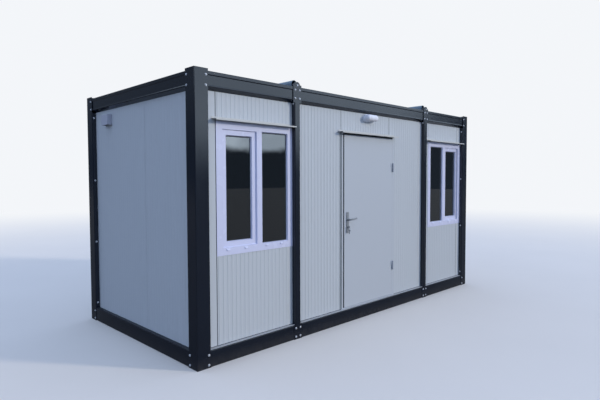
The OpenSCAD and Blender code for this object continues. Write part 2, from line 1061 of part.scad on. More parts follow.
module at_lamp() {
    footprint()
        translate([lamp_u, 0, head_z - lamp_top_gap - lamp_h / 2])
            children();
}

module lamp_base() {
    color("white")
        at_lamp()
            translate([0, wall_v - lamp_base_d, 0])
                lamp_loaf(lamp_w, lamp_h, lamp_base_d);
}

// Domed cover: its rim follows the base and it is rounded over at the front
module lamp_cover() {
    r = lamp_h / 2 - lamp_rim;
    half = (lamp_w - lamp_h) / 2;
    reach = lamp_depth - lamp_base_d;
    round_r = r * lamp_round_share;
    color("whitesmoke")
        at_lamp()
            translate([0, wall_v - lamp_base_d, 0])
                rotate([90, 0, 0]) {
                    for (x = [-half, half])
                        translate([x, 0, 0])
                            rotate_extrude()
                                cover_section(r, reach, round_r);
                    translate([-half, 0, 0])
                        rotate([90, 0, 90])
                            linear_extrude(2 * half) {
                                cover_section(r, reach, round_r);
                                mirror([1, 0])
                                    cover_section(r, reach, round_r);
                            }
                }
}

module cover_section(r, reach, round_r) {
    polygon(concat(
        [[0, 0], [r, 0]],
        [for (i = [0:6])
            [r - round_r + round_r * cos(i * 15), reach - round_r + round_r * sin(i * 15)]],
        [[0, reach]]
    ));
}

// Vent hood on the left end: a bent sheet between two cheeks, open below
module vent_hood() {
    top = head_z - hood_top_gap;
    v0 = cabin_w - hood_back_gap - hood_w;
    line = folded_line([
        [wall_v, top], [wall_v - hood_depth, top], [wall_v - hood_depth, top - hood_h]
    ], hood_fold_r);
    color("lavender")
        footprint()
            to_left_end() {
                along_u(v0, hood_w)
                    folded_sheet(line, hood_t);
                for (v = [v0, v0 + hood_w - hood_t])
                    along_u(v, hood_t)
                        polygon(concat(line, [[wall_v, top - hood_h]]));
            }
}

footprint() corner_post();  // corner_post_front_left
footprint() to_right() corner_post();  // corner_post_front_right
footprint() to_back() corner_post();  // corner_post_back_left
footprint() to_right() to_back() corner_post();  // corner_post_back_right
footprint() mid_posts();  // mid_posts_front
footprint() to_back() mid_posts();  // mid_posts_back
footprint() beam_row() base_outline();  // bottom_beams_front
footprint() to_back() beam_row() base_outline();  // bottom_beams_back
footprint() end_beam() base_outline();  // bottom_beam_left
footprint() to_right() end_beam() base_outline();  // bottom_beam_right
footprint() beam_row() at_head() top_outline();  // top_beams_front
footprint() to_back() beam_row() at_head() top_outline();  // top_beams_back
footprint() end_beam() at_head() top_outline();  // top_beam_left
footprint() to_right() end_beam() at_head() top_outline();  // top_beam_right
floor_joists();
floor_deck();
sill_strips();
roof_cross_beams();
roof_panels();
roof_joint_caps();
footprint() wall_end_panel();  // wall_left_end
footprint() to_right() wall_end_panel();  // wall_right_end
footprint() to_back() wall_run(wall_v, mid_left_axis, []);  // wall_back_left
footprint() to_back() wall_run(mid_left_axis, mid_right_axis, [cabin_l / 2]);  // wall_back_middle
footprint() to_back() wall_run(mid_right_axis, cabin_l - wall_v, []);  // wall_back_right
wall_front_left();
footprint() wall_run(mid_left_axis, door_frame_u, []);  // wall_beside_door_left
wall_over_door();
footprint() wall_run(door_frame_u + door_frame_w, mid_right_axis, []);  // wall_beside_door_right
wall_front_right();
in_left_bay() window_frame_shape();  // window_frame_left
in_right_bay() window_frame_shape();  // window_frame_right
in_left_bay() window_sash_shape();  // window_sash_left
in_right_bay() window_sash_shape();  // window_sash_right
window_glass();
window_handles();
door_frame();
door_leaf();
hinge_frame_halves();
hinge_leaf_halves();
handle_plates();
door_lever();
lock_and_keys();
drip_caps();
lamp_base();
lamp_cover();
vent_hood();
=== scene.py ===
# %% [markdown]
# # A portable site cabin, finished step by step
# The cabin is a bolted steel frame with sandwich panels between its posts.
# Its solids are already made and packed. This lesson dresses them: it gives
# every surface a finish, adds what is too small for the solids, such as panel
# ribs, bolts and seals, and lights the cabin as the photograph shows it.

# %% Load the frame
import bmesh
import bpy
import json
from math import radians
from mathutils import Matrix, Vector

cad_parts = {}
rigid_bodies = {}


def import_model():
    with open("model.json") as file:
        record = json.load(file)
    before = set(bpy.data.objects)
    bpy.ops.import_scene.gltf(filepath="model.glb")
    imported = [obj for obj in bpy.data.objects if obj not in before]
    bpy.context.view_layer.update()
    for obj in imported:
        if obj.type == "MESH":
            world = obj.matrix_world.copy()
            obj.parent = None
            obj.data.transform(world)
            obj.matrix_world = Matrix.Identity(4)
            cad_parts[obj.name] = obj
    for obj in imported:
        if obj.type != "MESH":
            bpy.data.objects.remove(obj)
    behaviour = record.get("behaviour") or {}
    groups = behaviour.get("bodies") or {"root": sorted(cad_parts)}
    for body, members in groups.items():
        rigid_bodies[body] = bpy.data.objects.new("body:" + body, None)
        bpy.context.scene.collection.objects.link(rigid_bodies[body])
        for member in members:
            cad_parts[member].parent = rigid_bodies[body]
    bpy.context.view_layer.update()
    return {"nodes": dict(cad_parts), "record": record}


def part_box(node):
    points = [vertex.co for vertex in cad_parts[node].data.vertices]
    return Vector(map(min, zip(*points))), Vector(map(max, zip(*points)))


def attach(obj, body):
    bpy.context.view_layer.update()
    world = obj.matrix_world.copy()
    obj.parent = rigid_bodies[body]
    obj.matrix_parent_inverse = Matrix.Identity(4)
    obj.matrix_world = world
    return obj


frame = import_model()

# %% [markdown]
# ## The camera first
# The view was found from the straight edges of the posts and beams. The lens
# stands at eye height, a few steps off the front left corner, and looks a
# little down. Three turns build its rotation: the heading, the tilt and a very
# small roll. Making it from turns keeps each number readable.

# %% The camera
EYE = Vector((-4.503, -4.481, 1.591))
HEADING = radians(-44.72)
TILT = radians(-2.53)
ROLL = radians(-0.18)
LENS_MM = 28.97
SENSOR_MM = 36.0

camera_data = bpy.data.cameras.new("camera")
camera_data.lens = LENS_MM
camera_data.sensor_width = SENSOR_MM
camera = bpy.data.objects.new("camera", camera_data)
bpy.context.scene.collection.objects.link(camera)
camera.matrix_world = (
    Matrix.Translation(EYE)
    @ Matrix.Rotation(HEADING, 4, "Z")
    @ Matrix.Rotation(radians(90) + TILT, 4, "X")
    @ Matrix.Rotation(ROLL, 4, "Z")
)
bpy.context.scene.camera = camera
print("camera at", tuple(round(x, 2) for x in EYE), "lens", LENS_MM, "mm")

# %% [markdown]
# ## Shader maths as plain expressions
# A finish is a formula over the surface, and a formula is easier to read as
# `1 - mask * 0.4` than as a row of nodes. `Wire` wraps an output socket, and
# its operators add the Math nodes. `Sheet` wraps a node tree: its `node` method
# makes any other node from its type, its settings and its inputs. Smooth steps
# and colour mixes are used so often that they get methods of their own.

# %% A wire that can be calculated with
class Wire:
    """An output socket: the operators on it add Math nodes to its tree."""

    def __init__(self, sheet, socket):
        self.sheet = sheet
        self.socket = socket

    def maths(self, operation, left, right):
        return self.sheet.node("ShaderNodeMath", {"operation": operation}, {0: left, 1: right})

    def __add__(self, other):
        return self.maths("ADD", self, other)

    def __radd__(self, other):
        return self.maths("ADD", other, self)

    def __sub__(self, other):
        return self.maths("SUBTRACT", self, other)

    def __rsub__(self, other):
        return self.maths("SUBTRACT", other, self)

    def __mul__(self, other):
        return self.maths("MULTIPLY", self, other)

    def clipped(self):
        """The value, held between 0 and 1."""
        return self.sheet.node("ShaderNodeClamp", {}, {"Value": self})


class Sheet:
    """A node tree that is filled in one line at a time."""

    def __init__(self, tree):
        self.tree = tree

    def node(self, kind, settings, inputs, output=0):
        made = self.tree.nodes.new(kind)
        for key, value in settings.items():
            setattr(made, key, value)
        for key, value in inputs.items():
            self.feed(made.inputs[key], value)
        return Wire(self, made.outputs[output]) if len(made.outputs) else made

    def feed(self, socket, value):
        if isinstance(value, Wire):
            self.tree.links.new(value.socket, socket)
        elif isinstance(value, tuple) and len(value) == 3 and socket.type == "RGBA":
            socket.default_value = (*value, 1.0)
        else:
            socket.default_value = value

    def steps(self, value, low, high, top=1.0):
        """0 below low, the top value above high, and smooth between them."""
        return self.node("ShaderNodeMapRange", {"interpolation_type": "SMOOTHSTEP"}, {
            "Value": value, "From Min": low, "From Max": high, "To Max": top,
        })

    def mixed(self, mask, first, second):
        """The first colour where the mask is 0, the second where it is 1."""
        return self.node("ShaderNodeMix", {"data_type": "RGBA"}, {0: mask, 6: first, 7: second}, 2)


print("wires add, subtract and multiply")

# %% [markdown]
# ## Patterns that every finish shares
# All patterns read Object coordinates. Each solid sits at the origin with its
# place in its mesh, so these are metres in the cabin's own frame, and a stain
# can be put at a real height. Noise gives soft patches, and noise stretched
# along Z gives the streaks that rain leaves on a wall.

# %% A finish with its own patterns
class Finish(Sheet):
    """A material with one Principled shader and patterns in metres."""

    def __init__(self, name):
        self.material = bpy.data.materials.new(name)
        self.material.use_nodes = True
        super().__init__(self.material.node_tree)
        self.tree.nodes.clear()
        self.place = self.node("ShaderNodeTexCoord", {}, {}, "Object")

    def stretched(self, scale):
        return self.node("ShaderNodeMapping", {}, {"Vector": self.place, "Scale": scale})

    def clouds(self, size, detail=3.0, stretch=(1.0, 1.0, 1.0)):
        """Noise of a size in metres, from 0 to 1."""
        scale = tuple(s / size for s in stretch)
        return self.node("ShaderNodeTexNoise", {}, {
            "Vector": self.stretched(scale), "Scale": 1.0, "Detail": detail,
        }, "Fac")

    def height(self):
        """Height of a point, in metres."""
        return self.node("ShaderNodeSeparateXYZ", {}, {"Vector": self.place}, "Z")

    def bumped(self, value, depth):
        return self.node("ShaderNodeBump", {}, {
            "Height": value, "Distance": depth, "Strength": 1.0,
        })

    def shaded(self, colour, roughness, bump=None, **constants):
        """Ends the finish: what varies is wired, the rest are numbers on the shader."""
        inputs = {"Base Color": colour, "Roughness": roughness}
        if bump is not None:
            inputs["Normal"] = bump
        for name, value in constants.items():
            inputs[name.replace("_", " ")] = value
        shader = self.node("ShaderNodeBsdfPrincipled", {}, inputs)
        self.node("ShaderNodeOutputMaterial", {}, {"Surface": shader})
        return self.material


print("finishes read Object coordinates")

# %% [markdown]
# ## Studio, light and background
# A low warm sun to the right of the camera lights the front, and a pale blue dome
# fills the shade on the left end. What glass and paint mirror matters as much:
# the panes of the cabin show something bright over a dark band. The band stands
# higher to the sides and highest at the back, where the left end mirrors it. So
# the world has one colour for light, one picture for reflections, with bright and
# dull patches, and one plain pale colour behind the cabin. The path of a ray
# tells which of them it asks for.

# %% The world
FILL = (0.60, 0.76, 1.10)
FILL_STRENGTH = 0.97
BACKGROUND = (0.90, 0.92, 0.95)
DOME_LOW = (1.92, 2.30, 2.70)
DOME_HIGH = (0.70, 0.88, 1.10)
CLIMB_FROM, CLIMB_TO = 0.12, 0.75
PATCH_SCALE = 9.0
PATCH_FROM, PATCH_TO, PATCH_SHARE = 0.40, 0.60, 0.50
BAND_DARK = (0.040, 0.055, 0.078)
BAND_BACK_TONE = (0.13, 0.16, 0.20)
BAND_SIDES = 0.20
BAND_OPEN = 0.055
BAND_BACK = 0.50
BAND_ROUGH = 0.05
ROUGH_SCALE = 14.0
BAND_BELOW, BAND_ABOVE = -0.008, 0.012
OPEN_VIEW = (0.62, -0.785, 0.0)
OPEN_FROM, OPEN_TO = 0.87, 0.98
BACK_VIEW = (-0.2, 0.98, 0.0)
BACK_FROM, BACK_TO = 0.55, 0.85
TONE_FROM, TONE_TO = 0.03, 0.20

world = bpy.data.worlds.new("studio")
world.use_nodes = True
bpy.context.scene.world = world
dome = Sheet(world.node_tree)
dome.tree.nodes.clear()
direction = dome.node("ShaderNodeTexCoord", {}, {}, "Generated")
rise = dome.node("ShaderNodeSeparateXYZ", {}, {"Vector": direction}, "Z")


def dome_noise(scale, detail):
    return dome.node("ShaderNodeTexNoise", {}, {
        "Vector": direction, "Scale": scale, "Detail": detail,
    }, "Fac")


def towards(view, low, high):
    """0 away from a view, 1 along it."""
    facing = dome.node("ShaderNodeVectorMath", {"operation": "DOT_PRODUCT"},
                       {0: direction, 1: view}, "Value")
    return dome.steps(facing, low, high)


lowered = towards(OPEN_VIEW, OPEN_FROM, OPEN_TO) * (BAND_SIDES - BAND_OPEN)
behind = towards(BACK_VIEW, BACK_FROM, BACK_TO)
raised = behind * (BAND_BACK - BAND_SIDES)
rough = (dome_noise(ROUGH_SCALE, 5.0) - 0.5) * BAND_ROUGH
band_top = BAND_SIDES - lowered + raised + rough
above = dome.steps(rise - band_top, BAND_BELOW, BAND_ABOVE)
dull = dome.steps(dome_noise(PATCH_SCALE, 3.0), PATCH_FROM, PATCH_TO, PATCH_SHARE)
climb = dome.steps(rise, CLIMB_FROM, CLIMB_TO)
bright = dome.mixed((climb + dull).clipped(), DOME_LOW, DOME_HIGH)

rays = dome.tree.nodes.new("ShaderNodeLightPath")
seen = Wire(dome, rays.outputs["Is Camera Ray"])
mirrored = Wire(dome, rays.outputs["Is Glossy Ray"])
through = Wire(dome, rays.outputs["Is Transmission Ray"])
fill_colour = tuple(c * FILL_STRENGTH for c in FILL)
band = dome.mixed(behind * dome.steps(rise, TONE_FROM, TONE_TO), BAND_DARK, BAND_BACK_TONE)
lit = dome.mixed(mirrored, fill_colour, dome.mixed(above, band, bright))
shown = dome.mixed(seen.maths("MAXIMUM", seen, through), lit, BACKGROUND)
glow = dome.node("ShaderNodeBackground", {}, {"Color": shown, "Strength": 1.0})
dome.node("ShaderNodeOutputWorld", {}, {"Surface": glow})
print("mirrored band ends at", BAND_OPEN, "to", BAND_BACK)

# %% [markdown]
# The sun is small, low and warm. Its angle comes from the short shadows under the
# caps, which lean to the left. It stays out of reflections, since no paint glints
# on the photograph. A spread of a few degrees keeps the shadows' edges soft.

# %% The sun
SUN_COLOUR = (1.0, 0.91, 0.78)
SUN_STRENGTH = 1.65
SUN_SPREAD = radians(5)
SUN_FROM = Vector((0.75, -1.0, 0.38))

sun_data = bpy.data.lights.new("sun", "SUN")
sun_data.energy = SUN_STRENGTH
sun_data.color = SUN_COLOUR
sun_data.angle = SUN_SPREAD
sun = bpy.data.objects.new("sun", sun_data)
sun.rotation_euler = SUN_FROM.to_track_quat("Z", "Y").to_euler()
sun.visible_glossy = False
bpy.context.scene.collection.objects.link(sun)
bpy.context.scene.view_settings.view_transform = "Standard"
print("sun from", tuple(round(x, 2) for x in SUN_FROM.normalized()))

# %% [markdown]
# The floor is a plain pale sheet to the eye. To light and reflections it is dark,
# because a white floor would lift every shadow and show in the panes. Far away
# it melts into the background, so that no horizon cuts the picture.

# %% The floor
FLOOR_HALF = 60.0
FLOOR_PALE = (0.80, 0.75, 0.69)
FLOOR_MIRRORED = (0.15, 0.135, 0.112)
FADE_FROM = 4.5
FADE_TO = 22.0

floor_mesh = bpy.data.meshes.new("floor")
floor_mesh.from_pydata(
    [(-FLOOR_HALF, -FLOOR_HALF, 0), (FLOOR_HALF, -FLOOR_HALF, 0),
     (FLOOR_HALF, FLOOR_HALF, 0), (-FLOOR_HALF, FLOOR_HALF, 0)],
    [], [(0, 1, 2, 3)],
)
floor = bpy.data.objects.new("floor", floor_mesh)
bpy.context.scene.collection.objects.link(floor)


def floor_finish():
    sheet = Finish("studio_floor")
    path = sheet.tree.nodes.new("ShaderNodeLightPath")
    eye_ray = Wire(sheet, path.outputs["Is Camera Ray"])
    speckle = sheet.clouds(1.5)
    pale = sheet.mixed(speckle, FLOOR_PALE, tuple(0.94 * c for c in FLOOR_PALE))
    colour = sheet.mixed(eye_ray, FLOOR_MIRRORED, pale)
    surface = sheet.node("ShaderNodeBsdfPrincipled", {},
                          {"Base Color": colour, "Roughness": 0.9, "Specular IOR Level": 0.1})
    haze = sheet.node("ShaderNodeEmission", {}, {"Color": BACKGROUND, "Strength": 1.0})
    distance = sheet.node("ShaderNodeVectorMath", {"operation": "LENGTH"},
                           {0: sheet.place}, "Value")
    fade = sheet.steps(distance, FADE_FROM, FADE_TO) * eye_ray
    blend = sheet.node("ShaderNodeMixShader", {}, {0: fade, 1: surface, 2: haze})
    sheet.node("ShaderNodeOutputMaterial", {}, {"Surface": blend})
    return sheet.material


floor_mesh.materials.append(floor_finish())
print("floor fades from", FADE_FROM, "to", FADE_TO, "m")

# %% [markdown]
# ## Paint on folded steel
# The posts and beams are folded sheet in a dark anthracite coat. Such a coat is
# smooth but not flat: it has a fine orange peel, it mirrors softly, and its foot
# carries dust and splashes. A Principled shader with a low roughness and a noisy
# bump gives the sheen, and a height mask gives the dust.

# %% Frame paint
ANTHRACITE = (0.006, 0.009, 0.017)
ANTHRACITE_WORN = (0.010, 0.014, 0.024)
FOOT_DUST = (0.16, 0.145, 0.125)
DUST_TOP = 0.12


def frame_paint():
    paint = Finish("anthracite_paint")
    wear = paint.clouds(0.35, 4.0)
    splash = paint.clouds(0.05, 5.0, (1.0, 1.0, 0.5))
    low = 1 - paint.steps(paint.height(), 0.0, DUST_TOP)
    dust = (low * splash * 0.22).clipped()
    coat = paint.mixed(wear, ANTHRACITE, ANTHRACITE_WORN)
    colour = paint.mixed(dust, coat, FOOT_DUST)
    peel = paint.clouds(0.006, 1.0)
    ripple = paint.clouds(0.5, 1.0)
    return paint.shaded(
        colour, 0.12 + wear * 0.12 + dust * 0.5,
        paint.bumped(peel * 0.12 + ripple, 0.0012),
        Specular_IOR_Level=0.5,
    )


FRAME_STEEL = frame_paint()
print("made", FRAME_STEEL.name)

# %% [markdown]
# ## Coil-coated wall sheet
# The skins of the sandwich panels are thin steel, coated on the coil in a cool
# light grey. They are matt, slightly wavy, and rain draws weak vertical streaks
# on them. The same recipe with other numbers paints the door and the caps.

# %% Pale sheet finishes
PANEL_GREY = (0.520, 0.560, 0.600)
DOOR_GREY = (0.490, 0.530, 0.580)
CAP_WHITE = (0.54, 0.55, 0.54)
ZINC_GREY = (0.46, 0.47, 0.49)
ROOF_BLUE = (0.14, 0.20, 0.26)
RAIN_GREY = (0.70, 0.70, 0.68)


def pale_sheet(name, tone, roughness, streaks=0.10, wave=0.0006, metal=0.0):
    sheet = Finish(name)
    cloud = sheet.clouds(0.8, 3.0)
    rain = sheet.clouds(0.03, 4.0, (1.0, 1.0, 0.03))
    stained = tuple(t * r for t, r in zip(tone, RAIN_GREY))
    colour = sheet.mixed((rain * streaks + cloud * 0.06).clipped(), tone, stained)
    grain = sheet.clouds(0.004, 1.0)
    return sheet.shaded(
        colour, roughness + cloud * 0.10,
        sheet.bumped(grain * 0.05 + cloud, wave),
        Metallic=metal,
    )


WALL_PANEL = pale_sheet("wall_coat", PANEL_GREY, 0.42)
DOOR_PAINT = pale_sheet("door_coat", DOOR_GREY, 0.38, 0.05)
CAP_SHEET = pale_sheet("cap_coat", CAP_WHITE, 0.35, 0.10)
ROOF_SHEET = pale_sheet("roof_coat", ROOF_BLUE, 0.35, 0.30)
JOIST_STEEL = pale_sheet("zinc_joist", ZINC_GREY, 0.45, 0.40, metal=0.8)
print("made the pale sheet finishes")

# %% [markdown]
# The strips on the ledge of the bottom beams are pale along the front and as dark
# as the frame at the ends. They are one solid, so one finish does both: it asks how
# far along X a point is.

# %% Ledge strips
STRIP_ENDS_FROM, STRIP_ENDS_TO = 2.25, 2.27


def ledge_strip():
    strip = Finish("zinc_strip")
    cloud = strip.clouds(0.4, 3.0)
    along = strip.node("ShaderNodeSeparateXYZ", {}, {"Vector": strip.place}, "X")
    at_end = strip.steps(along.maths("ABSOLUTE", along, 0.0), STRIP_ENDS_FROM, STRIP_ENDS_TO)
    zinc = strip.mixed(cloud, ZINC_GREY, tuple(0.75 * z for z in ZINC_GREY))
    colour = strip.mixed(at_end, zinc, ANTHRACITE)
    return strip.shaded(colour, 0.42 + cloud * 0.15, strip.bumped(cloud, 0.0004))


STRIP_ZINC = ledge_strip()
print("made", STRIP_ZINC.name)

# %% [markdown]
# ## Plastics, rubber and glass
# The windows are white extruded plastic, glossier than the walls. Their colour has
# a lavender tint that paints the blue sky mirrored in the white plastic. The lamp
# and the hood are plastic too, the gaskets are black rubber, and the joints are
# sealed in grey; a mid grey strip paints the shadow beside the door frame. One
# recipe makes them all, with other tones: weak patchy soil over an even colour.

# %% Plastic and rubber
# White plastic with a lavender tint: a painted reflection of the blue sky.
PLASTIC_WHITE_WITH_PAINTED_SKY_TINT = (0.64, 0.67, 0.86)
LAMP_WHITE = (0.80, 0.84, 0.93)
DIFFUSER_WHITE = (0.82, 0.84, 0.92)
HOOD_GREY = (0.42, 0.44, 0.52)
RUBBER_BLACK = (0.018, 0.022, 0.028)
SEALANT_GREY = (0.045, 0.055, 0.068)
# Mid grey: the painted soft shadow of the door frame on the wall.
FRAME_SHADOW_GREY = (0.26, 0.29, 0.315)


def plastic(name, tone, roughness, soil=0.12):
    skin = Finish(name)
    cloud = skin.clouds(0.15, 4.0)
    grain = skin.clouds(0.002, 1.0)
    soiled = tuple(0.72 * t for t in tone)
    colour = skin.mixed((cloud * soil).clipped(), tone, soiled)
    return skin.shaded(colour, roughness + cloud * 0.12, skin.bumped(grain, 0.0001))


WINDOW_PLASTIC = plastic("white_plastic", PLASTIC_WHITE_WITH_PAINTED_SKY_TINT, 0.20)
LAMP_BODY = plastic("lamp_shell", LAMP_WHITE, 0.45)
LAMP_DIFFUSER = plastic("lamp_milk", DIFFUSER_WHITE, 0.16, 0.05)
HOOD_PLASTIC = plastic("hood_grey", HOOD_GREY, 0.45)
RUBBER = plastic("seal_rubber", RUBBER_BLACK, 0.55)
SEALANT = plastic("joint_sealant", SEALANT_GREY, 0.60)
FRAME_SHADOW_PAINT = plastic("frame_bead", FRAME_SHADOW_GREY, 0.50)
print("made the plastics and the rubber")

# %% [markdown]
# The panes look dark, because the room behind them is unlit. A real pane would
# need many light bounces to come out so. A nearly opaque black sheet with a sharp
# mirror and a clear coat looks the same, and a little of the room shows through.

# %% Glass
# Near black: the painted shade of the unlit room behind the panes.
GLASS_DARK_FOR_UNLIT_ROOM = (0.003, 0.004, 0.005)


def window_glass():
    pane = Finish("dark_glass")
    film = pane.clouds(0.25, 3.0, (1.0, 1.0, 0.4))
    colour = pane.mixed(film, GLASS_DARK_FOR_UNLIT_ROOM, tuple(1.5 * t for t in GLASS_DARK_FOR_UNLIT_ROOM))
    return pane.shaded(
        colour, 0.01 + film * 0.02, Alpha=0.92, IOR=2.1, Coat_Weight=1.0, Coat_Roughness=0.01,
    )


WINDOW_GLASS = window_glass()
print("made", WINDOW_GLASS.name)

# %% [markdown]
# ## Metal fittings and timber
# Lever, plates and keys are satin nickel, brushed along their length. The bolts
# are bright zinc, dulled by weather, so they scatter more light than they mirror.
# The floor is a film-faced birch board that shows only when the door is open.

# %% Bright metal and floor board
NICKEL = (0.38, 0.395, 0.42)
BOLT_ZINC = (0.66, 0.68, 0.72)
BOARD_LIGHT = (0.42, 0.29, 0.17)
BOARD_DARK = (0.25, 0.15, 0.08)


def brushed_metal(name, tone, roughness, along, share):
    metal = Finish(name)
    brush = metal.clouds(0.001, 2.0, along)
    stain = metal.clouds(0.05, 3.0)
    darker = tuple(0.6 * t for t in tone)
    colour = metal.mixed((stain * 0.5).clipped(), tone, darker)
    return metal.shaded(
        colour, roughness + brush * 0.18, metal.bumped(brush, 0.00005), Metallic=share,
    )


def floor_board():
    board = Finish("birch_board")
    veins = board.clouds(0.02, 6.0, (0.08, 1.0, 1.0))
    patch = board.clouds(0.6, 2.0)
    colour = board.mixed((veins * 0.7 + patch * 0.3).clipped(), BOARD_LIGHT, BOARD_DARK)
    return board.shaded(colour, 0.40 + veins * 0.2, board.bumped(veins, 0.0003))


HANDLE_SILVER = brushed_metal("satin_nickel", NICKEL, 0.30, (0.05, 1.0, 1.0), 0.60)
BOLT_BRIGHT = brushed_metal("bolt_zinc", BOLT_ZINC, 0.40, (1.0, 1.0, 1.0), 0.25)
FLOOR_BOARD = floor_board()
print("made the metals and the board")

# %% [markdown]
# On the photograph only the barrels of the hinges are dark. Their plates are
# painted over with the door. One finish does both: the distance from the pin
# decides, so the edge of the paint is exact.

# %% Hinge paint
HINGE_R = 0.009
PAINT_FROM, PAINT_TO = HINGE_R + 0.0004, HINGE_R + 0.0012
HINGE_GREY = (0.27, 0.29, 0.33)


def hinge_paint():
    coat = Finish("hinge_coat")
    low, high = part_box("hinge_leaf_halves")
    pin = (high.x - HINGE_R, low.y + HINGE_R, 0.0)
    flat = coat.stretched((1.0, 1.0, 0.0))
    reach = coat.node("ShaderNodeVectorMath", {"operation": "DISTANCE"},
                      {0: flat, 1: pin}, "Value")
    off_barrel = coat.steps(reach, PAINT_FROM, PAINT_TO)
    wear = coat.clouds(0.02, 4.0)
    barrel = coat.mixed(wear, HINGE_GREY, tuple(1.3 * t for t in HINGE_GREY))
    colour = coat.mixed(off_barrel, barrel, DOOR_GREY)
    grain = coat.clouds(0.002, 1.0)
    return coat.shaded(colour, 0.32 + wear * 0.12, coat.bumped(grain, 0.0001))


HINGE_COAT = hinge_paint()
print("made", HINGE_COAT.name)

# %% [markdown]
# ## Finishes onto the solids
# The record says which slot each solid takes its finish from. A dictionary from
# slot to material and one loop dress them all.

# %% Dress the solids
FINISHES = {
    "frame_steel": FRAME_STEEL, "wall_panel": WALL_PANEL, "door_paint": DOOR_PAINT,
    "window_plastic": WINDOW_PLASTIC, "window_glass": WINDOW_GLASS, "floor_board": FLOOR_BOARD,
    "joist_steel": JOIST_STEEL, "strip_zinc": STRIP_ZINC, "roof_sheet": ROOF_SHEET,
    "cap_white": CAP_SHEET, "handle_silver": HANDLE_SILVER, "hinge_dark": HINGE_COAT,
    "lamp_body": LAMP_BODY, "lamp_diffuser": LAMP_DIFFUSER, "hood_plastic": HOOD_PLASTIC,
}
for part in frame["record"]["subparts"]:
    solid = frame["nodes"][part["node"]]
    solid.data.materials.clear()
    solid.data.materials.append(FINISHES[part["material_slot"]])

# %% [markdown]
# ## Growing repeated pieces with Geometry Nodes
# Bolts, ribs and screws repeat. A Geometry Nodes tree holds one of them and its
# named sizes, and a modifier runs it over points. `Grower` builds such a tree
# in the same words as a finish, and `grown` runs it once and returns the plain
# mesh, so that nothing live is left on the finished piece.

# %% A tree with named inputs
class Grower(Sheet):
    """A Geometry Nodes tree: named inputs, one output, realized and with a material."""

    def __init__(self, name, sizes):
        super().__init__(bpy.data.node_groups.new(name, "GeometryNodeTree"))
        faces = self.tree.interface
        self.ids = {}
        geometry = faces.new_socket("Geometry", in_out="INPUT", socket_type="NodeSocketGeometry")
        self.ids["Geometry"] = geometry.identifier
        for key, value in sizes.items():
            kind = "NodeSocketInt" if isinstance(value, int) else "NodeSocketFloat"
            item = faces.new_socket(key, in_out="INPUT", socket_type=kind)
            item.default_value = value
            self.ids[key] = item.identifier
        finish = faces.new_socket("Finish", in_out="INPUT", socket_type="NodeSocketMaterial")
        self.ids["Finish"] = finish.identifier
        faces.new_socket("Geometry", in_out="OUTPUT", socket_type="NodeSocketGeometry")
        self.start = self.tree.nodes.new("NodeGroupInput")

    def size(self, name):
        return Wire(self, self.start.outputs[name])

    def end(self, geometry):
        real = self.node("GeometryNodeRealizeInstances", {}, {"Geometry": geometry})
        painted = self.node("GeometryNodeSetMaterial", {},
                            {"Geometry": real, "Material": self.size("Finish")})
        self.node("NodeGroupOutput", {}, {0: painted})
        return self


def grown(grower, finish, points=(), aims=(), **sizes):
    """Runs a tree over points, each with the direction it faces, and returns a plain mesh."""
    seeds = bpy.data.meshes.new("seeds")
    seeds.from_pydata([tuple(p) for p in points], [], [])
    aim = seeds.attributes.new("aim", "FLOAT_VECTOR", "POINT")
    aim.data.foreach_set("vector", [x for a in aims for x in a])
    holder = bpy.data.objects.new("holder", seeds)
    bpy.context.scene.collection.objects.link(holder)
    tool = holder.modifiers.new("grow", "NODES")
    tool.node_group = grower.tree
    tool[grower.ids["Finish"]] = finish
    for key, value in sizes.items():
        tool[grower.ids[key.replace("_", " ")]] = value
    graph = bpy.context.evaluated_depsgraph_get()
    mesh = bpy.data.meshes.new_from_object(holder.evaluated_get(graph), depsgraph=graph)
    bpy.data.objects.remove(holder)
    return mesh


def add_piece(name, mesh, body):
    """Makes a mesh a finished piece of the cabin: its object sits at the origin."""
    mesh.name = name
    piece = bpy.data.objects.new(name, mesh)
    bpy.context.scene.collection.objects.link(piece)
    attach(piece, body)
    print("piece", name, "with", len(mesh.polygons), "faces on", body)
    return piece


# %% [markdown]
# ## Bolts of the frame
# Every post is bolted to the beams through its flanges: four bolts a corner
# face, four on each plate of a middle post, one in its arched head, and further
# ones down the returns, where the panels are clamped. One bolt is a washer and a
# hexagon head with a small chamfer. The tree builds it from cones, stands it on
# each point and turns it to face the point's aim.

# %% A bolt head and its washer
WASHER_SIDES = 24


